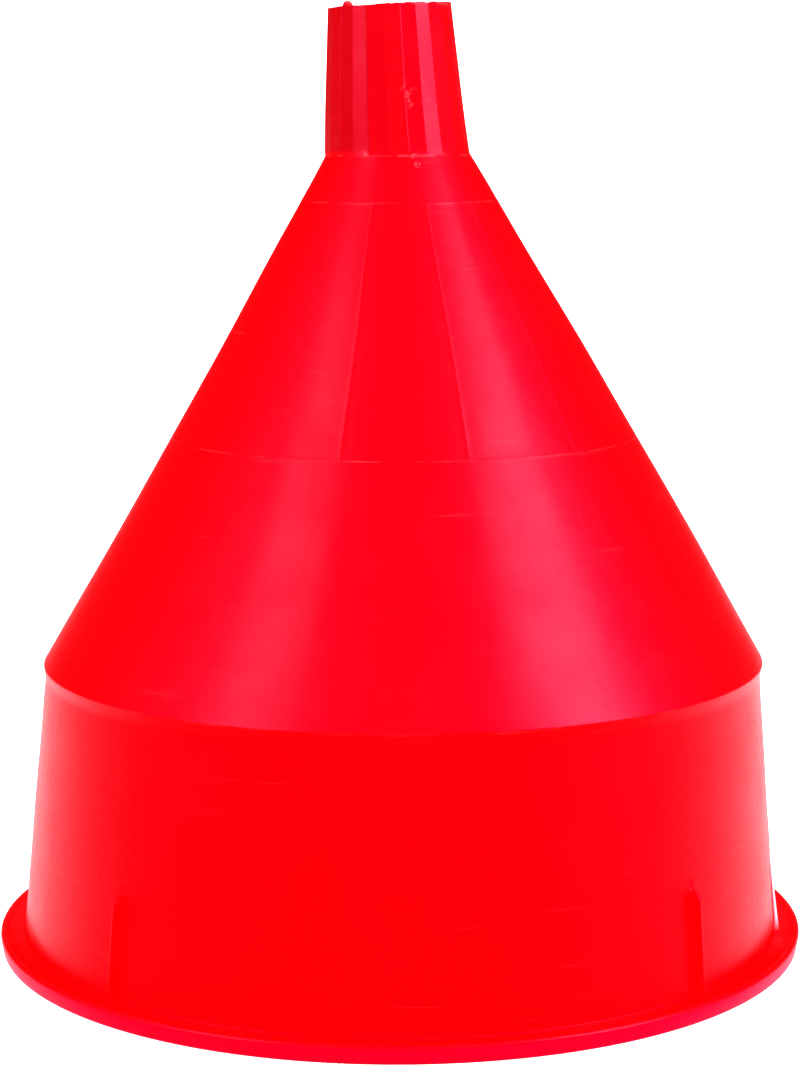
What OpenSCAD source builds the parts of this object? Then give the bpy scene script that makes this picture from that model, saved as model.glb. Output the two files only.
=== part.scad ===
// Funnel for fuel and other fluids, standing on its rim with the spout up.
// The shell is one polyethylene moulding, drawn here as regions that meet
// face to face. A lift-out gauze strainer is pressed into the cone.
// Millimetres. The origin is at the centre of the rim's resting edge, +Z up.

/* [Overall] */
// Height from the rim's resting edge to the spout's cut end
total_h = 289; // [240:1:360]
// Outside diameter of the rim, the widest size
rim_d = 250; // [205:1:310]
// Wall of the skirt and the cone
wall = 2.4; // [1.8:0.1:3.2]
// Moulding draft of the skirt, in degrees
draft = 5; // [2:0.5:8]

/* [Rim] */
// Height of the flange's top face above the resting edge
flange_z = 5; // [4:0.5:9]
// Width of the flange, from the skirt's foot to the outer edge
flange_w = 6.2; // [5:0.2:9]
// Thickness of the flange plate
flange_t = 2.2; // [1.6:0.1:3]
// Thickness of the down-turned lip
lip_t = 2; // [1.6:0.1:3]
// Radius of the bead along the flange's outer edge
bead_r = 1.3; // [0.9:0.1:1.5]

/* [Skirt and cone] */
// Height of the shoulder, where the skirt meets the cone
shoulder_z = 88.6; // [70:1:110]
// Cone's outside diameter at the strainer seat
seat_d = 142.2; // [110:0.2:160]
// Cone's outside diameter where the seat fins run out
fin_end_d = 59.8; // [56:0.2:80]
// Number of fins under the strainer
fin_count = 12; // [6:1:16]
// How far a fin stands in from the wall
fin_w = 3; // [2:0.5:4]
// Thickness of a fin
fin_t = 1.6; // [1.2:0.1:2.4]

/* [Gussets] */
// Number of gussets that brace the flange
gusset_count = 4; // [3:1:6]
// Direction of the first gusset, in degrees from +X
gusset_turn = -43.7; // [-60:0.1:-30]
// Height of a gusset's top above the resting edge
gusset_top = 36; // [20:1:50]
// How far a gusset stands out from the skirt
gusset_w = 3.6; // [2:0.1:4.6]
// Thickness of a gusset
gusset_t = 1.6; // [1.2:0.1:2.4]
// Radius of a gusset's top corner
gusset_round = 3; // [1:0.5:3]
// Direction of the low part-line rib, in degrees from +X
low_rib_turn = -10; // [-20:1:-5]
// How far the low rib stands out from the skirt
low_rib_w = 1.6; // [1:0.1:2]
// Height of the low rib's top
low_rib_top = 31; // [20:1:50]

/* [Spout] */
// Length of the spout
spout_l = 45; // [35:0.5:60]
// Outside diameter across the corners where the spout meets the cone
neck_d = 44.2; // [40:0.2:54]
// Outside diameter across the corners at the cut end
tip_d = 37.2; // [30:0.2:39]
// Wall of the spout at the cut end
spout_wall = 2.2; // [1.6:0.1:3]
// Number of flats around the spout
spout_flats = 24; // [16:2:32]

/* [Strainer] */
// Height of the strainer's frame
frame_h = 8; // [7:0.5:12]
// Gap between the frame and what it seats in
seat_gap = 0.3; // [0.2:0.05:0.6]
// Wall of the frame around the gauze
frame_wall = 2.2; // [1.6:0.1:3]
// Width of the ledge that carries the gauze's edge
ledge_w = 4; // [3:0.5:6]
// Thickness of the ledge and the spokes
spoke_t = 3; // [2:0.5:4]
// Width of a spoke
spoke_w = 4; // [3:0.5:6]
// Diameter of the hub where the spokes meet
hub_d = 16; // [12:1:22]
// Thickness of the gauze
gauze_t = 0.4; // [0.3:0.05:0.8]
// Gap around the gauze and the clamp ring inside the frame
clamp_gap = 0.1; // [0.05:0.05:0.2]
// Height of the clamp ring
clamp_h = 4; // [3:0.5:4]
// Thickness and width of the bar across the clamp ring
bar_t = 3; // [2:0.5:4]
bar_w = 6; // [5:0.5:9]

/* [Bail] */
// Diameter of the bail's wire
wire_d = 2.5; // [2:0.1:3]
// Radius of the bail's loop, at the middle of the wire
loop_r = 16; // [14:0.5:22]
// Radial running clearance of the wire in its ears
pivot_gap = 0.07; // [0.03:0.01:0.1]
// Thickness of an ear
ear_t = 3; // [2.5:0.5:4]
// Radius of an ear's round end
ear_r = 3; // [2.8:0.1:4]
// Gap between an ear and the bail's leg
ear_gap = 1.2; // [0.8:0.1:2]

/* [Hidden] */
$fn = 180;

// outer surface of the shell
rim_r = rim_d / 2;
foot_r = rim_r - flange_w;
neck_r = neck_d / 2;
neck_z = total_h - spout_l;
shoulder_r = foot_r - (shoulder_z - flange_z) * tan(draft);
cone_slope = (shoulder_r - neck_r) / (neck_z - shoulder_z);
cone_angle = atan(cone_slope);
function skirt_r(z) = foot_r - (z - flange_z) * tan(draft);
function cone_r(z) = shoulder_r - (z - shoulder_z) * cone_slope;
function cone_z(r) = shoulder_z + (shoulder_r - r) / cone_slope;

// inner surface of the shell
cone_wall = wall / cos(cone_angle);
skirt_wall = wall / cos(draft);
function skirt_in(z) = skirt_r(z) - skirt_wall;
function cone_in(z) = cone_r(z) - cone_wall;
// height where the inner faces of the skirt and the cone meet
inner_shoulder_z = shoulder_z - (cone_wall - skirt_wall) / (cone_slope - tan(draft));

// strainer seat
seat_z = cone_z(seat_d / 2);
fin_end_z = cone_z(fin_end_d / 2);
frame_top = seat_z - seat_gap;
frame_bottom = frame_top - frame_h;
recess_r = cone_in(frame_top) - seat_gap - frame_wall;
gauze_top = frame_top - spoke_t;
clamp_top = gauze_top - gauze_t;
clamp_r = recess_r - clamp_gap;
bar_bottom = clamp_top - bar_t;
wire_r = wire_d / 2;
ear_x = loop_r - wire_r - ear_gap - ear_t;
pivot_z = bar_bottom - ear_r;

shell_red = [0.86, 0.02, 0.06];
frame_black = [0.12, 0.12, 0.13];

// one region of the cone's wall, between two heights
module cone_band(z0, z1) {
    rotate_extrude()
        polygon([[cone_in(z0), z0], [cone_r(z0), z0], [cone_r(z1), z1], [cone_in(z1), z1]]);
}

// solid that fills the outside of the skirt, used to trim what stands on it
module skirt_solid() {
    rotate_extrude()
        polygon([[0, 0], [skirt_r(0), 0], [skirt_r(shoulder_z), shoulder_z], [0, shoulder_z]]);
}

module spout() {
    bore_neck = cone_in(neck_z);
    bore_tip = tip_d / 2 - spout_wall;
    // turn that puts a flat's edge where the moulded lines lie
    flat_turn = 9;
    color(shell_red)
        translate([0, 0, neck_z])
            difference() {
                rotate([0, 0, flat_turn])
                    linear_extrude(height = spout_l, scale = tip_d / neck_d)
                        circle(d = neck_d, $fn = spout_flats);
                cylinder(h = spout_l, r1 = bore_neck, r2 = bore_tip);
            }
}

module neck_cone() {
    color(shell_red) cone_band(fin_end_z, neck_z);
}

module strainer_cone() {
    color(shell_red) cone_band(seat_z, fin_end_z);
}

module main_cone() {
    color(shell_red) cone_band(shoulder_z, seat_z);
}

module skirt() {
    color(shell_red)
        rotate_extrude()
            polygon([
                [skirt_in(flange_z), flange_z],
                [skirt_r(flange_z), flange_z],
                [shoulder_r, shoulder_z],
                [cone_in(shoulder_z), shoulder_z],
                [skirt_in(inner_shoulder_z), inner_shoulder_z]
            ]);
}

// flange plate, beaded edge and down-turned lip that the funnel rests on
module rim_flange() {
    bead_x = rim_r - bead_r;
    inner_r = skirt_in(flange_z);
    color(shell_red)
        rotate_extrude() {
            translate([inner_r, flange_z - flange_t])
                square([bead_x - inner_r, flange_t]);
            translate([rim_r - lip_t, 0])
                square([lip_t, flange_z - bead_r / 2]);
            translate([bead_x, flange_z - bead_r / 2])
                circle(r = bead_r, $fn = 48);
        }
}

// upright rib on the flange, against the skirt
module skirt_rib(width, turn, top) {
    top_out = skirt_r(top) + width;
    corner = min(gusset_round, width - 0.4);
    rotate([0, 0, turn])
        difference() {
            rotate([90, 0, 0])
                linear_extrude(height = gusset_t, center = true) {
                    polygon([
                        [skirt_r(top) - wall / 2, flange_z],
                        [foot_r + width, flange_z],
                        [top_out, top - corner],
                        [top_out - corner, top],
                        [skirt_r(top) - wall / 2, top]
                    ]);
                    translate([top_out - corner, top - corner])
                        circle(r = corner, $fn = 48);
                }
            skirt_solid();
        }
}

module gusset(index) {
    color(shell_red)
        skirt_rib(gusset_w, gusset_turn + (index - 1) * 360 / gusset_count, gusset_top);
}

module low_rib() {
    color(shell_red) skirt_rib(low_rib_w, low_rib_turn, low_rib_top);
}

// thin fins inside the cone, which carry the strainer's frame on their ends
module seat_fins() {
    step = 360 / fin_count;
    color(shell_red)
        intersection() {
            for (i = [0 : fin_count - 1])
                rotate([90, 0, (i + 0.5) * step])
                    linear_extrude(height = fin_t, center = true)
                        polygon([
                            [cone_in(seat_z) - fin_w, seat_z],
                            [cone_r(seat_z), seat_z],
                            [cone_r(fin_end_z), fin_end_z],
                            [cone_in(fin_end_z) - fin_w, fin_end_z]
                        ]);
            rotate_extrude()
                polygon([[0, seat_z], [cone_in(seat_z), seat_z], [cone_in(fin_end_z), fin_end_z], [0, fin_end_z]]);
        }
}

// moulded ring with a ledge and spokes behind the gauze
module strainer_frame() {
    frame_r0 = cone_in(frame_bottom) - seat_gap;
    frame_r1 = cone_in(frame_top) - seat_gap;
    ledge_r = recess_r - ledge_w;
    color(frame_black) {
        rotate_extrude()
            polygon([
                [recess_r, frame_bottom],
                [frame_r0, frame_bottom],
                [frame_r1, frame_top],
                [ledge_r, frame_top],
                [ledge_r, gauze_top],
                [recess_r, gauze_top]
            ]);
        translate([0, 0, gauze_top])
            cylinder(h = spoke_t, d = hub_d);
        for (turn = [0, 90])
            rotate([0, 0, turn])
                translate([-ledge_r - 1, -spoke_w / 2, gauze_top])
                    cube([2 * ledge_r + 2, spoke_w, spoke_t]);
    }
}

module strainer_gauze() {
    color("goldenrod")
        translate([0, 0, clamp_top])
            cylinder(h = gauze_t, r = recess_r - clamp_gap);
}

// ring that holds the gauze in the frame, with a bar and two ears for the bail
module clamp_ring() {
    ring_in = clamp_r - ledge_w;
    bore_r = wire_r + pivot_gap;
    color(frame_black)
        difference() {
            union() {
                translate([0, 0, clamp_top - clamp_h])
                    difference() {
                        cylinder(h = clamp_h, r = clamp_r);
                        translate([0, 0, -1])
                            cylinder(h = clamp_h + 2, r = ring_in);
                    }
                translate([-ring_in - 1, -bar_w / 2, bar_bottom])
                    cube([2 * ring_in + 2, bar_w, bar_t]);
                for (side = [-1, 1])
                    translate([side * (ear_x + ear_t / 2), 0, pivot_z])
                        rotate([0, 90, 0])
                            cylinder(h = ear_t, r = ear_r, center = true, $fn = 48);
                for (side = [-1, 1])
                    translate([side * (ear_x + ear_t / 2), 0, (pivot_z + bar_bottom) / 2])
                        cube([ear_t, 2 * ear_r, bar_bottom - pivot_z + 0.02], center = true);
            }
            translate([0, 0, pivot_z])
                rotate([0, 90, 0])
                    cylinder(h = 2 * loop_r, r = bore_r, center = true, $fn = 48);
        }
}

// half loop of wire whose ends turn in through the ears
module bail() {
    tail = loop_r - ear_x + 1;
    color("silver")
        translate([0, 0, pivot_z]) {
            rotate([90, 0, 0])
                rotate([0, 0, 180])
                    rotate_extrude(angle = 180)
                        translate([loop_r, 0])
                            circle(r = wire_r, $fn = 32);
            for (side = [-1, 1]) {
                translate([side * loop_r, 0, 0])
                    sphere(r = wire_r, $fn = 48);
                translate([side * (loop_r - tail / 2), 0, 0])
                    rotate([0, 90, 0])
                        cylinder(h = tail, r = wire_r, center = true, $fn = 48);
            }
        }
}

spout();
neck_cone();
strainer_cone();
main_cone();
skirt();
rim_flange();
gusset(1);  // gusset_1
gusset(2);  // gusset_2
gusset(3);  // gusset_3
gusset(4);  // gusset_4
low_rib();
seat_fins();
strainer_frame();
strainer_gauze();
clamp_ring();
bail();
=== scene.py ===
import math

import bmesh
import bpy
from mathutils import Matrix, Vector, noise


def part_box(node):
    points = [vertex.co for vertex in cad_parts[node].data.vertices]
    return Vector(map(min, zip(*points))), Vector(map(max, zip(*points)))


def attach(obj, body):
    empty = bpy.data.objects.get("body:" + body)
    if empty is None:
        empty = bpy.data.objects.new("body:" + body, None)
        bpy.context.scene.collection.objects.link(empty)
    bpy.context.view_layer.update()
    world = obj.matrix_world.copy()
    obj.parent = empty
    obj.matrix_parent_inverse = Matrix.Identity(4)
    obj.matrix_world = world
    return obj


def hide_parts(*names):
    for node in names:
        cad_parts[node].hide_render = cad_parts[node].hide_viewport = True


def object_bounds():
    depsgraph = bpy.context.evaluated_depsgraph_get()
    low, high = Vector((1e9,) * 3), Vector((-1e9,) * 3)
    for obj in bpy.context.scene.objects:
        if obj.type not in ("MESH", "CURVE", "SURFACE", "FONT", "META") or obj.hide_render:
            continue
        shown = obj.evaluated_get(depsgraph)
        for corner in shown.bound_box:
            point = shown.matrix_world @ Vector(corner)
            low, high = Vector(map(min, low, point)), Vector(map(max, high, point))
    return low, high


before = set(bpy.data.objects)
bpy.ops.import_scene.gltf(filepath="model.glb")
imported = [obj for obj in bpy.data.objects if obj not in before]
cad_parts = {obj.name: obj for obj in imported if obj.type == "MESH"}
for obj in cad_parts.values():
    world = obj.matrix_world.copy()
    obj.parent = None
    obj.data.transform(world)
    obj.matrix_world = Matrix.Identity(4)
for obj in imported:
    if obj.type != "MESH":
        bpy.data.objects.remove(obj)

cad_low, cad_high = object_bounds()
MM = 0.001


# ---------------------------------------------------------------- camera
# A long lens, a little above the middle of the funnel, so that the rim shows
# as a shallow ellipse and the spout's end is seen level.
rim_radius = cad_high.x
eye_distance = 6.517 * rim_radius
eye_height = 2.02 * rim_radius
look_down = math.radians(8.71)
tilt = math.radians(-0.17)
focal_ratio = 2.482  # focal length over the picture's long side
camera_data = bpy.data.cameras.new("camera")
camera_data.sensor_width = 36
camera_data.lens = focal_ratio * camera_data.sensor_width
camera = bpy.data.objects.new("camera", camera_data)
camera.location = (0, -eye_distance, eye_height)
aim = Matrix.Rotation(math.radians(90) - look_down, 4, "X") @ Matrix.Rotation(tilt, 4, "Z")
camera.rotation_euler = aim.to_euler()
bpy.context.collection.objects.link(camera)
bpy.context.scene.camera = camera
bpy.context.scene.view_settings.view_transform = "Standard"
bpy.context.scene.view_settings.look = "Very High Contrast"


# ---------------------------------------------------------------- studio
# A pale floor and a pale surround, a soft strip light on each side, and broad
# fill. The floor lets light and sight through from below, so that the inside
# can be looked at too.
def add_mesh(name, verts, faces):
    """A new mesh object at the origin, with its points in metres."""
    mesh = bpy.data.meshes.new(name)
    mesh.from_pydata(verts, [], faces)
    mesh.update()
    made = bpy.data.objects.new(name, mesh)
    bpy.context.collection.objects.link(made)
    return made


def new_material(name):
    """A material with an empty node tree, and that tree."""
    made = bpy.data.materials.new(name)
    made.use_nodes = True
    made.node_tree.nodes.clear()
    return made, made.node_tree


def join(tree, start, end):
    """A link from an output socket to an input socket."""
    tree.links.new(start, end)


def add_node(tree, kind, inputs=None, **settings):
    """A node with its properties set, and each input given a level or joined to an output."""
    made = tree.nodes.new(kind)
    for key, value in settings.items():
        setattr(made, key, value)
    for socket, source in (inputs or {}).items():
        if isinstance(source, bpy.types.NodeSocket):
            join(tree, source, made.inputs[socket])
        else:
            made.inputs[socket].default_value = source
    return made


def maths(tree, operation, *sources, clamp=False):
    """The output of a Math node on levels and outputs."""
    made = add_node(tree, "ShaderNodeMath", dict(enumerate(sources)), operation=operation, use_clamp=clamp)
    return made.outputs[0]


def remap(tree, value, start, end=(0, 1), ease="LINEAR"):
    """A value carried from one (low, high) range to another, and held within it."""
    made = add_node(tree, "ShaderNodeMapRange",
                    {"Value": value, "From Min": start[0], "From Max": start[1],
                     "To Min": end[0], "To Max": end[1]}, interpolation_type=ease)
    return made.outputs[0]


def pale_floor():
    half = 2.5
    floor = add_mesh("floor", [(-half, -half, 0), (half, -half, 0), (half, half, 0), (-half, half, 0)],
                     [(0, 1, 2, 3)])
    made, tree = new_material("pale_floor")
    paint = add_node(tree, "ShaderNodeBsdfDiffuse", {"Color": (0.9, 0.9, 0.9, 1)})
    glow = add_node(tree, "ShaderNodeEmission", {"Color": (1, 1, 1, 1), "Strength": 0.4})
    lit = add_node(tree, "ShaderNodeAddShader", {0: paint.outputs[0], 1: glow.outputs[0]})
    clear = add_node(tree, "ShaderNodeBsdfTransparent")
    seen = add_node(tree, "ShaderNodeLightPath").outputs["Is Camera Ray"]
    from_below = add_node(tree, "ShaderNodeNewGeometry").outputs["Backfacing"]
    solid = maths(tree, "SUBTRACT", seen, from_below, clamp=True)
    mix = add_node(tree, "ShaderNodeMixShader", {"Fac": solid, 1: clear.outputs[0], 2: lit.outputs[0]})
    add_node(tree, "ShaderNodeOutputMaterial", {"Surface": mix.outputs[0]})
    floor.data.materials.append(made)


def surround():
    """White to the eye. Its light and reflections are bright low down behind, and dim in front."""
    world = bpy.data.worlds.new("surround")
    bpy.context.scene.world = world
    world.use_nodes = True
    tree = world.node_tree
    tree.nodes.clear()
    direction = add_node(tree, "ShaderNodeTexCoord").outputs["Generated"]
    x, y, z = add_node(tree, "ShaderNodeSeparateXYZ", {0: direction}).outputs
    behind = remap(tree, y, (-0.35, 0.75), (0.003, 1.4), "SMOOTHSTEP")
    right = remap(tree, x, (0.3, 0.95), (0, 0.22), "SMOOTHSTEP")
    low = remap(tree, z, (-0.2, 0.05), (1, 0.04), "SMOOTHSTEP")
    table = remap(tree, z, (-0.26, -0.45), (0, 0.4), "SMOOTHSTEP")
    above = remap(tree, z, (0.45, 0.8), (0, 0.35), "SMOOTHSTEP")
    near_floor = maths(tree, "MULTIPLY", maths(tree, "ADD", behind, right), low)
    total = maths(tree, "ADD", maths(tree, "MAXIMUM", near_floor, table), above)
    white = (1, 1, 1, 1)
    seen = add_node(tree, "ShaderNodeBackground", {"Color": white, "Strength": 1.05})
    lit = add_node(tree, "ShaderNodeBackground", {"Color": white, "Strength": total})
    to_eye = add_node(tree, "ShaderNodeLightPath").outputs["Is Camera Ray"]
    mix = add_node(tree, "ShaderNodeMixShader", {"Fac": to_eye, 1: lit.outputs[0], 2: seen.outputs[0]})
    add_node(tree, "ShaderNodeOutputWorld", {"Surface": mix.outputs[0]})


def soft_light(name, turn, height, distance, width, tall, power, in_gloss):
    """A rectangular light that faces the funnel's middle, with turn and height in degrees.

    turn is measured from the front, positive to the right. in_gloss lights show in reflections.
    """
    aim = Vector((0, 0, 0.14))
    a, e = math.radians(turn), math.radians(height)
    away = Vector((math.sin(a) * math.cos(e), -math.cos(a) * math.cos(e), math.sin(e)))
    data = bpy.data.lights.new(name, "AREA")
    data.shape = "RECTANGLE"
    data.size = width
    data.size_y = tall
    data.energy = power
    made = bpy.data.objects.new(name, data)
    made.location = aim + away * distance
    made.rotation_euler = (-away).to_track_quat("-Z", "Y").to_euler()
    made.visible_camera = False
    made.visible_glossy = in_gloss
    bpy.context.collection.objects.link(made)


pale_floor()
surround()
# name, turn, height, distance, width, tall, power, in_gloss
soft_light("strip_right", 61.5, 30, 1.3, 0.58, 0.95, 12.0, True)
soft_light("strip_left", -53, 30, 1.3, 0.48, 1.0, 6.9, True)
soft_light("panel_right", 41, 38, 1.5, 0.2, 1.0, 0.5, True)
soft_light("fill_front", 0, 20, 2.2, 1.6, 1.6, 19, False)
soft_light("fill_left", -80, 20, 2.0, 1.2, 1.4, 9, False)
soft_light("fill_right", 80, 20, 2.0, 1.2, 1.4, 9, False)
soft_light("fill_top", 0, 89, 1.8, 1.4, 1.4, 7, False)
soft_light("fill_back", 180, 30, 2.2, 1.6, 1.6, 15, False)


# ---------------------------------------------------------------- funnel shell
# One injection moulding in red polyethylene: beaded rim with a down-turned
# lip, deep skirt braced by gussets, straight cone, and a spout with flats
# whose end was cut off by hand and leans a little.
rim_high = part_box("rim_flange")[1]
skirt_low, skirt_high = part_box("skirt")
seat_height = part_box("main_cone")[1].z / MM
fin_end_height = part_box("strainer_cone")[1].z / MM
# Lengths are in mm from here on. First come small changes from the plain
# solids' sizes.
neck_rise = 0.2
rim_proud = 0.8
foot_drawn_in = 0.5
shoulder_proud = 0.45
shoulder_rise = 0.5
neck_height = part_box("neck_cone")[1].z / MM + neck_rise
gusset_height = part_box("gusset_1")[1].z / MM
low_rib_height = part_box("low_rib")[1].z / MM
spout_top = cad_high.z / MM
rim_r = rim_high.x / MM + rim_proud
lip_thick = 2.0
bead_r = 1.3
lip_taper = 0.7
flange_z = skirt_low.z / MM
flange_thick = 2.2
foot_r = skirt_high.x / MM - foot_drawn_in
shoulder_z = skirt_high.z / MM + shoulder_rise
shoulder_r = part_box("main_cone")[1].x / MM + shoulder_proud
neck_r = 22.1
tip_r = 18.65
wall = 2.4
spout_wall = 2.2
shoulder_growth = 0.42  # keeps the inner face near the plain solid's
cone_slope = (shoulder_r - neck_r) / (neck_height - shoulder_z)
skirt_slope = math.tan(math.radians(5))
cone_wall = wall * math.hypot(1, cone_slope) + shoulder_growth
skirt_wall = wall * math.hypot(1, skirt_slope)


def skirt_r(z):
    """The skirt's outer radius at this height."""
    return foot_r - (z - flange_z) * skirt_slope


def rounded(points, radii, steps=6):
    """The outline through points, with an arc of the given radius at each."""
    made = []
    last = len(points) - 1
    for i, (x, z) in enumerate(points):
        radius = radii[i]
        if radius == 0 or i in (0, last):
            made.append((x, z))
            continue
        corner = Vector((x, z))
        to_start = (Vector(points[i - 1]) - corner).normalized()
        to_end = (Vector(points[i + 1]) - corner).normalized()
        half = to_start.angle(to_end) / 2
        reach = radius / math.tan(half)
        centre = corner + (to_start + to_end).normalized() * (radius / math.sin(half))
        arc_start = corner + to_start * reach - centre
        arc_end = corner + to_end * reach - centre
        turn = arc_start.angle_signed(arc_end)
        for k in range(steps + 1):
            spun = Matrix.Rotation(-turn * k / steps, 2) @ arc_start
            made.append(tuple(centre + spun))
    return made


def stepped(points, longest):
    """The same outline with its long stretches cut into shorter ones."""
    made = [points[0]]
    for start, end in zip(points, points[1:]):
        gap = math.dist(start, end)
        count = max(1, math.ceil(gap / longest))
        for k in range(1, count + 1):
            made.append(tuple(s + (e - s) * k / count for s, e in zip(start, end)))
    return made


def bands(rows, columns, closed):
    """Faces between neighbouring rows of points, each row a closed loop."""
    faces = []
    for row in range(rows if closed else rows - 1):
        above = (row + 1) % rows
        for k in range(columns):
            n = (k + 1) % columns
            faces.append((row * columns + k, row * columns + n, above * columns + n, above * columns + k))
    return faces


def lathe(name, outline, turns, place):
    """A closed outline of (r, z) carried round +Z. place(r, z, turn, row) gives each point in mm."""
    verts = [Vector(place(r, z, turn, row)) * MM
             for row, (r, z) in enumerate(outline) for turn in turns]
    made = add_mesh(name, verts, bands(len(outline), len(turns), True))
    made.data.shade_smooth()
    return made


def shell_outline():
    """Outer face from the lip up to the cut end, and the inner face down again."""
    bead_x = rim_r - bead_r
    bead_z = flange_z - bead_r / 2
    bead = [(bead_x + bead_r * math.cos(math.radians(t)), bead_z + bead_r * math.sin(math.radians(t)))
            for t in range(0, 151, 15)]
    edge_r = rim_r - lip_taper
    brow_z = shoulder_z - 3.5
    outer = rounded([(edge_r - lip_thick / 2, 0), (edge_r, 0), (rim_r, bead_z)], [0, 0.95, 0])[:-1]
    outer += bead
    outer += rounded([(bead[-1][0], flange_z), (foot_r, flange_z), (skirt_r(brow_z), brow_z),
                      (shoulder_r, shoulder_z), (neck_r, neck_height), (tip_r, spout_top),
                      (tip_r - spout_wall / 2, spout_top)],
                     [0, 0.3, 8, 0.9, 0.8, 0.25, 0])[1:]
    cone_at_floor = shoulder_r - cone_wall + shoulder_z * cone_slope
    skirt_at_floor = foot_r - skirt_wall + flange_z * skirt_slope
    inner_shoulder_z = (cone_at_floor - skirt_at_floor) / (cone_slope - skirt_slope)
    inner = rounded([(tip_r - spout_wall / 2, spout_top), (tip_r - spout_wall, spout_top),
                     (neck_r - cone_wall, neck_height),
                     (skirt_r(inner_shoulder_z) - skirt_wall, inner_shoulder_z),
                     (foot_r - skirt_wall, flange_z - flange_thick),
                     (rim_r - lip_thick, flange_z - flange_thick),
                     (edge_r - lip_thick, 0), (edge_r - lip_thick / 2, 0)],
                    [0, 0.3, 1.5, 2, 0.5, 0.6, 0.5, 0], steps=4)
    return outer, inner


def row_heights(outer):
    """The outer outline, with closer rows where ribs, rings and lines begin and end."""
    longest_step = 5
    made = stepped(outer, longest_step)
    extra = [top - 4 + 0.35 * k for k in range(13) for top in (gusset_height, low_rib_height)]
    for ring in (seat_height, fin_end_height):
        extra += [ring + s for s in (-1.2, -0.5, -0.25, 0, 0.25, 0.5, 1.2)]
    extra += [neck_height + s for s in (1.2, 1.8)]
    extra += [spout_top - s for s in (0.6, 1.2, 2.2)]
    dense = []
    for start, end in zip(made, made[1:]):
        dense.append(start)
        low, high = start[1], end[1]
        if high - low > 0.05:
            inside = sorted(z for z in extra if low + 0.04 < z < high - 0.04)
            dense += [(start[0] + (end[0] - start[0]) * (z - low) / (high - low), z) for z in inside]
    dense.append(made[-1])
    return dense


# Turns are in degrees from +X. A rib's profile is given by its half width in
# degrees at the edge of its flat, at the foot of its side and at its root.
fin_count = 12
line_turns = [-105 + 360 // fin_count * k for k in range(fin_count)]
flat_step = 15
flat_edge_turns = [9 + flat_step * k for k in range(24)]
gusset_turns = [-43.7, 46.3, 136.3, 226.3]
low_rib_turn = -10
gusset_out = 3.0
low_rib_out = 1.5
gusset_round = 3.0
rib_flat = 0.34
rib_side = 0.46
rib_foot = 0.8
rib_crown = 0.12
ring_proud = 0.06
line_proud = 0.07
spout_lean = math.radians(-2.6)
uneven = 0.12  # how far the moulded face wanders in or out


def shell_turns():
    """Directions of the columns of points, in degrees from +X, close together at each feature."""
    turns = {round(1.5 * k, 3) for k in range(240)}
    beside_rib = (0, 0.18, 0.28, rib_flat, 0.38, rib_side, 0.58, rib_foot)
    for features, steps in ((flat_edge_turns, (-0.8, -0.4, 0, 0.4, 0.8)),
                            (line_turns, (-0.5, -0.25, 0, 0.25, 0.5)),
                            (gusset_turns + [low_rib_turn], beside_rib + tuple(-s for s in beside_rib))):
        turns |= {round((t + s) % 360, 3) for t in features for s in steps}
    kept = []
    for t in sorted(turns):
        if not kept or t - kept[-1] > 0.05:
            kept.append(t)
    return [math.radians(t) for t in kept]


def away_from(turn, centre):
    """Degrees between a direction and a feature's direction, from -180 to 180."""
    return (math.degrees(turn) - centre + 180) % 360 - 180


def rib_reach(turn, z):
    """How far a gusset or the low rib lifts the skirt's face here."""
    reach = 0
    ribs = [(t, gusset_out, gusset_height) for t in gusset_turns]
    ribs.append((low_rib_turn, low_rib_out, low_rib_height))
    for centre, out, top in ribs:
        side = abs(away_from(turn, centre))
        if side > rib_foot or z > top:
            continue
        if side < rib_flat:
            across = 1 - rib_crown * (side / rib_flat) ** 3
        elif side < rib_side:
            across = 1 - rib_crown - (1 - 2 * rib_crown) * (side - rib_flat) / (rib_side - rib_flat)
        else:
            across = rib_crown * (1 - (side - rib_side) / (rib_foot - rib_side)) ** 2
        drop = max(0, z - (top - gusset_round)) / gusset_round
        along = math.sqrt(max(0, 1 - drop * drop))
        if centre == low_rib_turn:
            along = (top - z) / (top - flange_z)
        reach = max(reach, out * across * along)
    return reach


def seam_lift(turn, z):
    """Height of the fine moulded rings and lines that stand on the cone."""
    half_width = 0.5  # in mm for a ring and in degrees for a line
    lift = 0
    for ring in (seat_height, fin_end_height):
        lift = max(lift, ring_proud * max(0, 1 - abs(z - ring) / half_width))
    if fin_end_height > z > seat_height:
        for centre in line_turns:
            side = abs(away_from(turn, centre))
            lift = max(lift, line_proud * max(0, 1 - side / half_width))
    return lift


def flat_factor(turn):
    """Radius of the flat-sided spout over its radius at the corners. Every second corner is sharper."""
    half = flat_step / 2
    side = (math.degrees(turn) - flat_edge_turns[0]) % flat_step - half
    level = math.cos(math.radians(half)) / math.cos(math.radians(side))
    corner_width = 0.8
    for corner in flat_edge_turns[::2]:
        edge = abs(away_from(turn, corner))
        if edge < corner_width:
            level += 0.008 * (1 - edge / corner_width)
    return level


def cut_end(turn):
    """Rise and fall of the torn end, with the stub of the moulding's gate."""
    around = Vector((math.cos(turn), math.sin(turn), 0))
    ragged = 0
    for rise, fineness in ((0.35, 4), (0.22, 14), (0.12, 40)):
        ragged += rise * noise.noise(around * fineness)
    stub_turn, stub_rise, stub_half = -135, 1.5, 4
    stub = abs(away_from(turn, stub_turn))
    return ragged + stub_rise * max(0, 1 - stub / stub_half) ** 0.5


# (height, sideways warp) in mm
bow = [(0, -0.4), (40, 0), (75, 0.5), (95, 1.0), (130, 1.5), (180, 1.2), (225, 0.2), (252, -0.5), (300, -0.4)]


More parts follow.
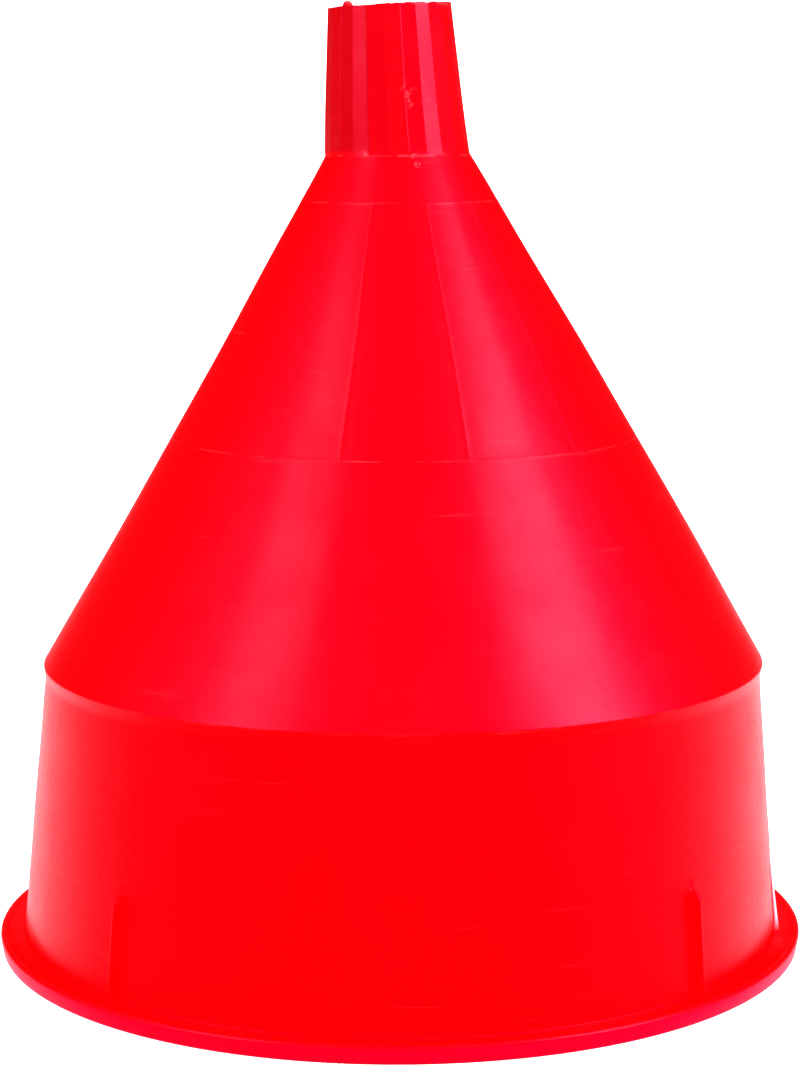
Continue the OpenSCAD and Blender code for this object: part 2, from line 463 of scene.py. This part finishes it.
def bowed(z):
    """Sideways warp of the cone's outer face at this height."""
    for (low, start), (high, end) in zip(bow, bow[1:]):
        if z <= high:
            share = max(0, (z - low) / (high - low))
            return start + (end - start) * share * share * (3 - 2 * share)
    return bow[-1][1]


def lean(x, y, z):
    """The spout's bend to the left above the neck."""
    start = neck_height - 12
    bend_length = 24
    if z <= start:
        return x, y, z
    turned = spout_lean * min(1, (z - start) / bend_length)
    pivot = start + bend_length / 4
    up = z - pivot
    return (x * math.cos(turned) + up * math.sin(turned), y,
            pivot + up * math.cos(turned) - x * math.sin(turned))


def funnel_shell():
    outer, inner = shell_outline()
    outer = row_heights(outer)
    inner = stepped(inner, 12)[1:-1]
    outside = len(outer)
    torn = 2.5  # how far down the torn end reaches
    flat_start = 1.5  # how far above the neck the flats are full

    def place(r, z, turn, row):
        if row < outside:
            if z > flange_z - 0.01 and r < foot_r + gusset_out + 0.5 and z < shoulder_z - 3:
                reach = rib_reach(turn, z)
                on_flange = z < flange_z + 0.01
                r = max(r, foot_r + reach) if on_flange else r + reach
            elif neck_height - 1 > z > shoulder_z + 3:
                r += seam_lift(turn, z)
            elif z > neck_height:
                r *= 1 + (flat_factor(turn) - 1) * min(1, (z - neck_height) / flat_start)
        if z > spout_top - torn:
            z += cut_end(turn) * min(1, (z - spout_top + torn) / torn)
        around = Vector((r * math.cos(turn), r * math.sin(turn), z))
        if row < outside and shoulder_z - 50 < z < neck_height:
            fade = min(1, (z - shoulder_z + 50) / 30, (neck_height - z) / 20)
            r += uneven * fade * noise.noise(around * 0.018)
        x = r * math.cos(turn)
        if row < outside or z > spout_top - 12:
            x += bowed(z)
        return lean(x, r * math.sin(turn), z)

    turns = shell_turns()
    made = lathe("funnel_shell", outer + inner, turns, place)
    # The low rib's face is marked here for a painted highlight.
    pale = made.data.attributes.new("rib_painted_highlight", "FLOAT", "POINT")
    for row, (r, z) in enumerate(outer):
        for column, turn in enumerate(turns):
            beside = abs(away_from(turn, low_rib_turn)) < 0.5 and r < foot_r + 0.1
            on_rib = beside and flange_z + 0.5 < z < low_rib_height - 0.5
            pale.data[row * len(turns) + column].value = 1.0 if on_rib else 0.0
    return made


def new_group(name, kind, inputs, outputs):
    """A node group with named sockets: its tree, input node, output node and input identifiers."""
    tree = bpy.data.node_groups.new(name, kind)
    socket_ids = {}
    for label, socket_kind in inputs.items():
        made = tree.interface.new_socket(name=label, in_out="INPUT", socket_type="NodeSocket" + socket_kind)
        socket_ids[label] = made.identifier
    for label, socket_kind in outputs.items():
        tree.interface.new_socket(name=label, in_out="OUTPUT", socket_type="NodeSocket" + socket_kind)
    return tree, add_node(tree, "NodeGroupInput"), add_node(tree, "NodeGroupOutput"), socket_ids


def object_place(tree):
    """Where a point lies in its piece."""
    return add_node(tree, "ShaderNodeTexCoord").outputs["Object"]


def speckle(tree, place, scale, detail, roughness):
    """Noise at a place."""
    made = add_node(tree, "ShaderNodeTexNoise",
                    {"Vector": place, "Scale": scale, "Detail": detail, "Roughness": roughness})
    return made.outputs[0]


def mix_colors(tree, share, first, second, blend="MIX"):
    """Two colours mixed by a share."""
    made = add_node(tree, "ShaderNodeMix", {0: share, 6: first, 7: second},
                    data_type="RGBA", blend_type=blend)
    return made.outputs[2]


def surface_group():
    """Slow drift of colour and gloss, fine grain, and short scratches."""
    tree, inside, outside, _ = new_group(
        "plastic_surface", "ShaderNodeTree",
        {"Color": "Color", "Scuffed": "Color", "Roughness": "Float", "Grain": "Float", "Scratches": "Float"},
        {"Color": "Color", "Roughness": "Float", "Height": "Float"})
    place = object_place(tree)
    cloud = speckle(tree, place, 62, 5, 0.6)
    grain = speckle(tree, place, 900, 3, 0.6)
    streaks = []
    for turn, stretch in ((0.5, (18, 18, 420)), (-0.9, (26, 26, 520))):
        mapping = add_node(tree, "ShaderNodeMapping",
                           {"Vector": place, "Rotation": (turn, turn * 0.7, 0), "Scale": stretch})
        streaks.append(remap(tree, speckle(tree, mapping.outputs[0], 1, 1.5, 0.5), (0.72, 0.78)))
    marks = maths(tree, "MULTIPLY", maths(tree, "MAXIMUM", *streaks), inside.outputs["Scratches"], clamp=True)
    drift = remap(tree, cloud, (0.3, 0.7), (0.985, 1.015))
    drifted = mix_colors(tree, 1.0, inside.outputs["Color"], drift, "MULTIPLY")
    scuffed = mix_colors(tree, marks, drifted, inside.outputs["Scuffed"])
    patch = remap(tree, cloud, (0.36, 0.64), (-0.03, 0.08))
    rough = maths(tree, "ADD", patch, inside.outputs["Roughness"])
    rougher = maths(tree, "MULTIPLY_ADD", marks, 0.25, rough)
    grained = maths(tree, "MULTIPLY", grain, inside.outputs["Grain"])
    height = maths(tree, "MULTIPLY_ADD", marks, -1.5, grained)
    join(tree, scuffed, outside.inputs["Color"])
    join(tree, rougher, outside.inputs["Roughness"])
    join(tree, height, outside.inputs["Height"])
    return tree


plastic_surface = surface_group()


def moulded_plastic(name, surface, finish, gloss="Roughness"):
    """Opaque moulded plastic. gloss names the shader's input that takes the surface's roughness."""
    made, tree = new_material(name)
    group = add_node(tree, "ShaderNodeGroup", surface, node_tree=plastic_surface)
    bump = add_node(tree, "ShaderNodeBump",
                    {"Strength": 0.12, "Distance": 0.0002, "Height": group.outputs["Height"]})
    shader = add_node(tree, "ShaderNodeBsdfPrincipled",
                      {"IOR": 1.5, "Base Color": group.outputs["Color"], gloss: group.outputs["Roughness"],
                       "Normal": bump.outputs[0], **finish})
    add_node(tree, "ShaderNodeOutputMaterial", {"Surface": shader.outputs[0]})
    return made, group, shader


def scuff_group():
    """Broken pale wear along an edge that runs round the shell at one height."""
    tree, inside, outside, _ = new_group(
        "edge_scuff", "ShaderNodeTree",
        {"Height": "Float", "Half Width": "Float", "Amount": "Float", "Scale": "Float"}, {"Mask": "Float"})
    place = object_place(tree)
    z = add_node(tree, "ShaderNodeSeparateXYZ", {0: place}).outputs["Z"]
    gap = maths(tree, "ABSOLUTE", maths(tree, "SUBTRACT", z, inside.outputs["Height"]))
    near = remap(tree, maths(tree, "DIVIDE", gap, inside.outputs["Half Width"]), (1, 0.2))
    broken = remap(tree, speckle(tree, place, inside.outputs["Scale"], 6, 0.7), (0.46, 0.62))
    worn = maths(tree, "MULTIPLY", near, broken)
    join(tree, maths(tree, "MULTIPLY", worn, inside.outputs["Amount"], clamp=True), outside.inputs["Mask"])
    return tree


def nick_group():
    """Small pale knocks scattered in one spot of the surface."""
    tree, inside, outside, _ = new_group(
        "nicks", "ShaderNodeTree", {"Centre": "Vector", "Radius": "Float"}, {"Mask": "Float"})
    place = object_place(tree)
    gap = add_node(tree, "ShaderNodeVectorMath", {0: place, 1: inside.outputs["Centre"]},
                   operation="DISTANCE")
    near = remap(tree, maths(tree, "DIVIDE", gap.outputs["Value"], inside.outputs["Radius"]), (1, 0.5))
    hit = remap(tree, speckle(tree, place, 480, 4, 0.65), (0.54, 0.7))
    join(tree, maths(tree, "MULTIPLY", near, hit, clamp=True), outside.inputs["Mask"])
    return tree


def shell_plastic():
    """Red polyethylene, with pale scuffs at the shoulder, the neck, the rings and the cut end, a painted
    highlight on the low rib, painted shade on the spout above the neck, and a painted sheen and shade on the
    lip below the flange.
    """
    red = (0.92, 0.0, 0.002, 1)
    scuffed = (1.0, 0.16, 0.17, 1)
    nicked = (1.0, 0.2, 0.22, 1)
    painted_rib_highlight = (1.0, 0.62, 0.70, 1)
    painted_lip_sheen_and_shade = (0.86, 0.0, 0.045, 1)
    made, group, shader = moulded_plastic(
        "red_polyethylene",
        {"Color": red, "Scuffed": scuffed, "Roughness": 0.24, "Grain": 0.6, "Scratches": 0.1},
        {"Specular Tint": (1, 0.0, 0.85, 1), "Roughness": 0.5, "Specular IOR Level": 0.36},
        "Coat Roughness")
    tree = made.node_tree
    worn = group.outputs["Color"]
    scuff = scuff_group()
    worn_edges = ((shoulder_z - 0.3, 0.5, 0.16, 60), (neck_height, 0.5, 0.35, 160),
                  (seat_height, 0.35, 0.3, 45), (fin_end_height, 0.35, 0.3, 70),
                  (spout_top + 0.2, 1.0, 0.6, 200))
    for height, half_width, amount, scale in worn_edges:
        edge = add_node(tree, "ShaderNodeGroup",
                        {"Height": height * MM, "Half Width": half_width * MM,
                         "Amount": amount, "Scale": scale}, node_tree=scuff)
        worn = mix_colors(tree, edge.outputs["Mask"], worn, scuffed)
    nick = nick_group()
    knocks = (((5.4, -22, neck_height - 1.0), 3.4), ((5.0, -20.5, neck_height + 18), 6),
              ((-10.5, -19.8, neck_height + 0.3), 1.6))
    for centre, radius in knocks:
        spot = add_node(tree, "ShaderNodeGroup",
                        {"Centre": tuple(Vector(centre) * MM), "Radius": radius * MM}, node_tree=nick)
        worn = mix_colors(tree, spot.outputs["Mask"], worn, nicked)
    # Painted highlight: the low rib's face is made pale pink, standing in for the bright glint along it.
    rib = add_node(tree, "ShaderNodeAttribute", attribute_name="rib_painted_highlight")
    worn = mix_colors(tree, rib.outputs["Fac"], worn, painted_rib_highlight)
    z = add_node(tree, "ShaderNodeSeparateXYZ", {0: object_place(tree)}).outputs["Z"]
    # Painted shade: over the first 1.5 mm above the neck the colour is darkened to 0.56, standing in for the
    # shade on the spout's flats.
    painted_spout_shade = remap(tree, z, (neck_height * MM, (neck_height + 1.5) * MM), (1, 0.56))
    shade = mix_colors(tree, 1.0, worn, painted_spout_shade, "MULTIPLY")
    # Painted sheen and shade: below the flange the lip turns a darker, bluer red that stands in for the dim
    # reflection and shade on the lip.
    below = remap(tree, z, ((flange_z - 0.8) * MM, flange_z * MM), (1, 0))
    join(tree, mix_colors(tree, below, shade, painted_lip_sheen_and_shade), shader.inputs["Base Color"])
    coat = remap(tree, z, ((flange_z - 0.6) * MM, flange_z * MM), (0.08, 0.26))
    join(tree, coat, shader.inputs["Coat Weight"])
    return made


red_polyethylene = shell_plastic()
shell = funnel_shell()
shell.data.materials.append(red_polyethylene)
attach(shell, "funnel")
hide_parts("spout", "neck_cone", "strainer_cone", "main_cone", "skirt", "rim_flange",
            "gusset_1", "gusset_2", "gusset_3", "gusset_4", "low_rib")


# ---------------------------------------------------------------- seat fins
# Twelve thin moulded fins inside the cone. Their lower ends carry the
# strainer's frame, and their free edges are rounded.
fin_thick = 1.6
fin_width = 3.0
inner_face = shoulder_r + shoulder_z * cone_slope - cone_wall  # the cone's inner radius run down to z = 0


def painted_result(tree, geometry, inside, outside):
    """The end of a tree: real geometry in the given material."""
    real = add_node(tree, "GeometryNodeRealizeInstances", {0: geometry})
    paint = add_node(tree, "GeometryNodeSetMaterial",
                     {"Geometry": real.outputs[0], "Material": inside.outputs["Material"]})
    join(tree, paint.outputs[0], outside.inputs[0])


def copies_in_ring():
    """Node tree: copies of the given mesh turned round +Z in equal steps."""
    tree, inside, outside, socket_ids = new_group(
        "copies_in_ring", "GeometryNodeTree",
        {"Geometry": "Geometry", "Count": "Int", "First Turn": "Float", "Material": "Material"},
        {"Geometry": "Geometry"})
    points = add_node(tree, "GeometryNodePoints", {"Count": inside.outputs["Count"]})
    index = add_node(tree, "GeometryNodeInputIndex").outputs[0]
    step = maths(tree, "DIVIDE", math.tau, inside.outputs["Count"])
    turn = maths(tree, "MULTIPLY_ADD", index, step, inside.outputs["First Turn"])
    spin = add_node(tree, "ShaderNodeCombineXYZ", {"Z": turn})
    copies = add_node(tree, "GeometryNodeInstanceOnPoints",
                      {"Points": points.outputs[0], "Instance": inside.outputs["Geometry"],
                       "Rotation": spin.outputs[0]})
    painted_result(tree, copies.outputs[0], inside, outside)
    return tree, socket_ids


def grown(start, tree, socket_ids, values):
    """The object's mesh replaced by what the node tree makes of it."""
    modifier = start.modifiers.new("grow", "NODES")
    modifier.node_group = tree
    for name, value in values.items():
        modifier[socket_ids[name]] = value
    start.update_tag()
    shape = start.evaluated_get(bpy.context.evaluated_depsgraph_get())
    mesh = bpy.data.meshes.new_from_object(shape)
    start.modifiers.remove(modifier)
    start.data = mesh
    return start


def end_caps(rows, columns):
    """The two faces that close a tube made by bands()."""
    return [tuple(reversed(range(columns))), tuple((rows - 1) * columns + k for k in range(columns))]


def fin_blade():
    """One fin against the inner face, at turn 0, with a half-round free edge."""
    half = fin_thick / 2
    sunk = 0.6  # how far the fin's root is sunk in the wall
    section = [(sunk, half)]
    for t in range(0, 181, 30):
        a = math.radians(t)
        section.append((-fin_width + half * (1 - math.sin(a)), half * math.cos(a)))
    section.append((sunk, -half))
    heights = [seat_height, seat_height + 0.5] + [seat_height + 8 * k for k in range(1, 9)] + [fin_end_height]
    verts = []
    for z in heights:
        root = inner_face - z * cone_slope
        shrink = 0.35 if z == seat_height else 0
        for out, side in section:
            verts.append(Vector((root + out + (shrink if out < -1 else 0), side * (1 - shrink / 2), z)) * MM)
    rows, columns = len(heights), len(section)
    made = add_mesh("seat_fin_blades", verts, bands(rows, columns, False) + end_caps(rows, columns))
    shape = bmesh.new()
    shape.from_mesh(made.data)
    bmesh.ops.recalc_face_normals(shape, faces=shape.faces)
    shape.to_mesh(made.data)
    shape.free()
    made.data.shade_smooth()
    return made


ring_tree, ring_sockets = copies_in_ring()
fins = grown(fin_blade(), ring_tree, ring_sockets,
             {"Count": fin_count, "First Turn": math.radians(line_turns[4]), "Material": red_polyethylene})
fins.data.set_sharp_from_angle(angle=math.radians(50))
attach(fins, "funnel")
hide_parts("seat_fins")


# ---------------------------------------------------------------- strainer frame
# A black moulded ring that drops into the cone. A ledge and four spokes with
# a hub stand behind the gauze.
frame_low, frame_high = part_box("strainer_frame")
gauze_low, gauze_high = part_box("strainer_gauze")
frame_top = frame_high.z / MM
frame_bottom = frame_low.z / MM
gauze_top = gauze_high.z / MM
gauze_bottom = gauze_low.z / MM
gauze_r = gauze_high.x / MM
ledge_wide = 4.0
recess_r = gauze_r + 0.1
frame_r = frame_high.x / MM
hub_r = 8
boss_r = 3


def add_solids(made, solids):
    """Closed solids, each (verts in mm, faces), added to an object's mesh with their edges eased."""
    shape = bmesh.new()
    shape.from_mesh(made.data)
    for verts, faces, ease in solids:
        block = bmesh.new()
        points = [block.verts.new(Vector(v) * MM) for v in verts]
        for face in faces:
            block.faces.new([points[k] for k in face])
        bmesh.ops.recalc_face_normals(block, faces=block.faces)
        if ease:
            edges = [e for e in block.edges if e.calc_face_angle() > math.radians(40)]
            bmesh.ops.bevel(block, geom=edges, offset=ease * MM, segments=3, profile=0.5, affect="EDGES")
        part = bpy.data.meshes.new("part")
        block.to_mesh(part)
        block.free()
        shape.from_mesh(part)
        bpy.data.meshes.remove(part)
    shape.to_mesh(made.data)
    shape.free()
    made.data.shade_smooth()
    made.data.set_sharp_from_angle(angle=math.radians(35))


def prism(outline, low, high):
    """A closed upright solid from an outline in XY."""
    count = len(outline)
    verts = [(u, v, low) for u, v in outline] + [(u, v, high) for u, v in outline]
    faces = [tuple(reversed(range(count))), tuple(range(count, 2 * count))]
    faces += [(k, (k + 1) % count, (k + 1) % count + count, k + count) for k in range(count)]
    return verts, faces


def even_turns(count):
    """Angles of count equal steps round a circle, in radians."""
    return [math.tau * k / count for k in range(count)]


def simple_place(r, z, turn, row):
    return r * math.cos(turn), r * math.sin(turn), z


def circle(radius, count):
    """The outline of a disc."""
    return [(radius * math.cos(t), radius * math.sin(t)) for t in even_turns(count)]


def strainer_frame():
    slope = (frame_top - frame_bottom) * cone_slope
    ledge_r = recess_r - ledge_wide
    corners = [(recess_r + 1, frame_bottom), (frame_r, frame_bottom), (frame_r - slope, frame_top),
               (ledge_r, frame_top), (ledge_r, gauze_top), (recess_r, gauze_top), (recess_r, frame_bottom),
               (recess_r + 1, frame_bottom)]
    outline = rounded(corners, [0, 0.5, 0.5, 0.6, 0.4, 0.15, 0.4, 0], steps=4)[:-1]
    made = lathe("strainer_frame_ring", outline, even_turns(192), simple_place)
    solids = []
    for turn in even_turns(4):
        across = Vector((-math.sin(turn), math.cos(turn)))
        along = Vector((math.cos(turn), math.sin(turn)))
        bar = [along * 5 + across * 2.3, along * 5 - across * 2.3,
               along * (ledge_r + 1) - across * 2, along * (ledge_r + 1) + across * 2]
        solids.append((*prism(bar, gauze_top + 0.05, frame_top - 0.15), 0.5))
    solids.append((*prism(circle(hub_r, 48), gauze_top + 0.02, frame_top), 0.7))
    solids.append((*prism(circle(boss_r, 32), frame_top - 0.6, frame_top + 0.35), 0.25))
    add_solids(made, solids)
    return made


black_plastic = moulded_plastic(
    "black_polypropylene",
    {"Color": (0.016, 0.016, 0.018, 1), "Scuffed": (0.10, 0.10, 0.11, 1),
     "Roughness": 0.42, "Grain": 2.0, "Scratches": 0.35}, {})[0]
frame_ring = strainer_frame()
frame_ring.data.materials.append(black_plastic)
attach(frame_ring, "strainer")
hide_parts("strainer_frame")


# ---------------------------------------------------------------- strainer gauze
# Plain-woven brass wire, cut round. Each wire passes over and under the wires
# that cross it.
gauze_pitch = 1.4
gauze_wire_r = 0.11
gauze_wave = 0.09


def woven_disc():
    """Node tree: two sets of waved wires that fill a circle."""
    tree, inside, outside, socket_ids = new_group(
        "woven_disc", "GeometryNodeTree",
        {"Geometry": "Geometry", "Pitch": "Float", "Wire Radius": "Float", "Wave": "Float", "Radius": "Float",
         "Height": "Float", "Wires": "Int", "Material": "Material"},
        {"Geometry": "Geometry"})
    pitch = inside.outputs["Pitch"]
    middle = maths(tree, "DIVIDE", maths(tree, "SUBTRACT", inside.outputs["Wires"], 1), 2)
    index = add_node(tree, "GeometryNodeInputIndex").outputs[0]
    across = maths(tree, "MULTIPLY", maths(tree, "SUBTRACT", index, middle), pitch)
    spot = add_node(tree, "ShaderNodeCombineXYZ", {"X": across})
    points = add_node(tree, "GeometryNodePoints",
                      {"Count": inside.outputs["Wires"], "Position": spot.outputs[0]})
    room = maths(tree, "SUBTRACT", maths(tree, "POWER", inside.outputs["Radius"], 2),
                 maths(tree, "POWER", across, 2))
    half_length = maths(tree, "SQRT", maths(tree, "MAXIMUM", room, 1e-8))
    stretch = add_node(tree, "ShaderNodeCombineXYZ", {"X": 1, "Y": half_length, "Z": 1})
    line = add_node(tree, "GeometryNodeCurvePrimitiveLine", {"Start": (0, -1, 0), "End": (0, 1, 0)})
    wires = add_node(tree, "GeometryNodeInstanceOnPoints",
                     {"Points": points.outputs[0], "Instance": line.outputs[0], "Scale": stretch.outputs[0]})
    straight = add_node(tree, "GeometryNodeRealizeInstances", {0: wires.outputs[0]})
    resample = add_node(tree, "GeometryNodeResampleCurve",
                        {"Curve": straight.outputs[0], "Length": maths(tree, "MULTIPLY", pitch, 0.5)},
                        mode="LENGTH")
    profile = add_node(tree, "GeometryNodeCurvePrimitiveCircle",
                       {"Resolution": 3, "Radius": inside.outputs["Wire Radius"]}, mode="RADIUS")
    both = add_node(tree, "GeometryNodeJoinGeometry")
    for quarter, sign in ((0, 1), (math.pi / 2, -1)):
        turned = add_node(tree, "GeometryNodeTransform",
                          {"Geometry": resample.outputs[0], "Rotation": (0, 0, quarter)})
        where = add_node(tree, "GeometryNodeInputPosition")
        split = add_node(tree, "ShaderNodeSeparateXYZ", {0: where.outputs[0]})
        waves = []
        for axis in ("X", "Y"):
            steps = maths(tree, "ADD", maths(tree, "DIVIDE", split.outputs[axis], pitch), middle)
            waves.append(maths(tree, "COSINE", maths(tree, "MULTIPLY", steps, math.pi)))
        lift = maths(tree, "MULTIPLY", maths(tree, "MULTIPLY", *waves), inside.outputs["Wave"])
        level = maths(tree, "ADD", maths(tree, "MULTIPLY", lift, sign), inside.outputs["Height"])
        rise = add_node(tree, "ShaderNodeCombineXYZ", {"Z": level})
        bent = add_node(tree, "GeometryNodeSetPosition",
                        {"Geometry": turned.outputs[0], "Offset": rise.outputs[0]})
        tube = add_node(tree, "GeometryNodeCurveToMesh",
                        {"Curve": bent.outputs[0], "Profile Curve": profile.outputs[0], "Fill Caps": True})
        join(tree, tube.outputs[0], both.inputs[0])
    painted_result(tree, both.outputs[0], inside, outside)
    return tree, socket_ids


def bare_metal(name, bright, dull, patches, dull_range, gloss, bump, grain=None):
    """Wire whose colour and gloss change in patches of (scale, detail, roughness)."""
    made, tree = new_material(name)
    place = object_place(tree)
    cloud = speckle(tree, place, *patches)
    color = mix_colors(tree, remap(tree, cloud, dull_range), bright, dull)
    height = speckle(tree, place, *grain) if grain else cloud
    strength, distance = bump
    uneven = add_node(tree, "ShaderNodeBump", {"Strength": strength, "Distance": distance, "Height": height})
    shader = add_node(tree, "ShaderNodeBsdfPrincipled",
                      {"Metallic": 1.0, "Base Color": color, "Normal": uneven.outputs[0],
                       "Roughness": remap(tree, cloud, (0.3, 0.75), gloss)})
    add_node(tree, "ShaderNodeOutputMaterial", {"Surface": shader.outputs[0]})
    return made


brass_wire = bare_metal("brass_wire", (0.78, 0.55, 0.22, 1), (0.30, 0.17, 0.07, 1), (60, 5, 0.6),
                        (0.45, 0.7), (0.26, 0.55), (0.15, 0.00002), (4000, 2, 0.5))
weave_tree, weave_sockets = woven_disc()
gauze = grown(add_mesh("brass_gauze", [], []), weave_tree, weave_sockets,
              {"Pitch": gauze_pitch * MM, "Wire Radius": gauze_wire_r * MM, "Wave": gauze_wave * MM,
               "Radius": (gauze_r - 0.15) * MM, "Height": (gauze_top + gauze_bottom) / 2 * MM,
               "Wires": 2 * int((gauze_r - 1) / gauze_pitch) + 1, "Material": brass_wire})
gauze.data.shade_smooth()
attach(gauze, "strainer")
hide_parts("strainer_gauze")


# ---------------------------------------------------------------- clamp ring
# A black ring snapped in under the gauze, with a bar across it and two bored
# ears for the bail.
clamp_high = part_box("clamp_ring")[1]
clamp_r = clamp_high.x / MM
clamp_top = clamp_high.z / MM
clamp_height = 4.0
bar_bottom = clamp_top - 3
bar_half = 3
ear_near = 10.55
ear_thick = 3.0
ear_r = 3.0
pivot_z = bar_bottom - ear_r
bore_r = 1.32


def ear(low, high):
    """A rounded lug with a bore, from one X to another, as a closed ring of quads."""
    count = 48
    chamfer, bore_chamfer = 0.35, 0.2
    rings = []
    for x, outer_trim, inner_trim in ((low, chamfer, bore_chamfer), (low + chamfer, 0, 0),
                                      (high - chamfer, 0, 0), (high, chamfer, bore_chamfer)):
        outer, inner = [], []
        for t in even_turns(count):
            u, v = math.cos(t), math.sin(t)
            reach = (ear_r - outer_trim) / (max(abs(u), v) if v > 0 else 1)
            outer.append((x, u * reach, pivot_z + v * reach + (outer_trim + 0.1 if v > 0.7 else 0)))
            inner.append((x, u * (bore_r + inner_trim), pivot_z + v * (bore_r + inner_trim)))
        rings.append((outer, inner))
    loops = [outer for outer, inner in rings] + [inner for outer, inner in reversed(rings)]
    return [point for loop in loops for point in loop], bands(len(loops), count, True), 0


def clamp_ring():
    inner_r = clamp_r - ledge_wide
    clamp_bottom = clamp_top - clamp_height
    corners = [(inner_r + 1, clamp_bottom), (clamp_r, clamp_bottom), (clamp_r, clamp_top),
               (inner_r, clamp_top), (inner_r, clamp_bottom), (inner_r + 1, clamp_bottom)]
    outline = rounded(corners, [0, 0.5, 0.15, 0.15, 0.5, 0], steps=4)[:-1]
    made = lathe("strainer_clamp_ring", outline, even_turns(192), simple_place)
    half = inner_r + 1
    bar = [(-half, -bar_half), (half, -bar_half), (half, bar_half), (-half, bar_half)]
    solids = [(*prism(bar, bar_bottom, clamp_top - 0.05), 0.5)]
    for side in (-1, 1):
        near, far = side * ear_near, side * (ear_near + ear_thick)
        solids.append(ear(min(near, far), max(near, far)))
    add_solids(made, solids)
    return made


clamp = clamp_ring()
clamp.data.materials.append(black_plastic)
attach(clamp, "strainer")
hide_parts("clamp_ring")


# ---------------------------------------------------------------- bail
# A half loop of drawn steel wire. Its ends bend in through the ears, and it
# is the pull that lifts the strainer out.
bail_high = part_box("bail")[1]
wire_r = 1.25
loop_r = bail_high.x / MM - wire_r


def bail_path():
    """Points along the middle of the wire, in mm, from one end to the other, in the XZ plane."""
    bend = 2.2
    centre = Vector((loop_r - bend, -bend))
    half = [Vector((x, 0)) for x in (ear_near - 0.8, ear_near + 1.2, ear_near + ear_thick - 0.2)]
    for t in range(0, 91, 15):
        half.append(centre + bend * Vector((math.sin(math.radians(t)), math.cos(math.radians(t)))))
    start = math.degrees(math.asin(bend / loop_r)) + 4
    for k in range(21):
        t = math.radians(start + (90 - start) * k / 20)
        half.append(Vector((loop_r * math.cos(t), -loop_r * math.sin(t))))
    return half + [Vector((-p.x, p.y)) for p in reversed(half[:-1])]


def bail_wire():
    path = bail_path()
    rows, columns = len(path), 20
    verts = []
    for i, point in enumerate(path):
        ahead = path[min(i + 1, rows - 1)] - path[max(i - 1, 0)]
        side = Vector((ahead.y, -ahead.x)).normalized()
        for t in even_turns(columns):
            out = side * (wire_r * math.cos(t))
            verts.append(Vector((point.x + out.x, wire_r * math.sin(t), pivot_z + point.y + out.y)) * MM)
    made = add_mesh("steel_bail", verts, bands(rows, columns, False) + end_caps(rows, columns))
    shape = bmesh.new()
    shape.from_mesh(made.data)
    bmesh.ops.recalc_face_normals(shape, faces=shape.faces)
    ends = [e for f in shape.faces if len(f.verts) > 4 for e in f.edges]
    bmesh.ops.bevel(shape, geom=ends, offset=0.25 * MM, segments=2, profile=0.5, affect="EDGES")
    shape.to_mesh(made.data)
    shape.free()
    made.data.shade_smooth()
    made.data.set_sharp_from_angle(angle=math.radians(50))
    return made


steel_wire = bare_metal("steel_wire", (0.62, 0.62, 0.60, 1), (0.33, 0.31, 0.29, 1), (220, 6, 0.65),
                        (0.5, 0.72), (0.22, 0.5), (0.12, 0.0001))
bail = bail_wire()
bail.data.materials.append(steel_wire)
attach(bail, "bail")
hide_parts("bail")
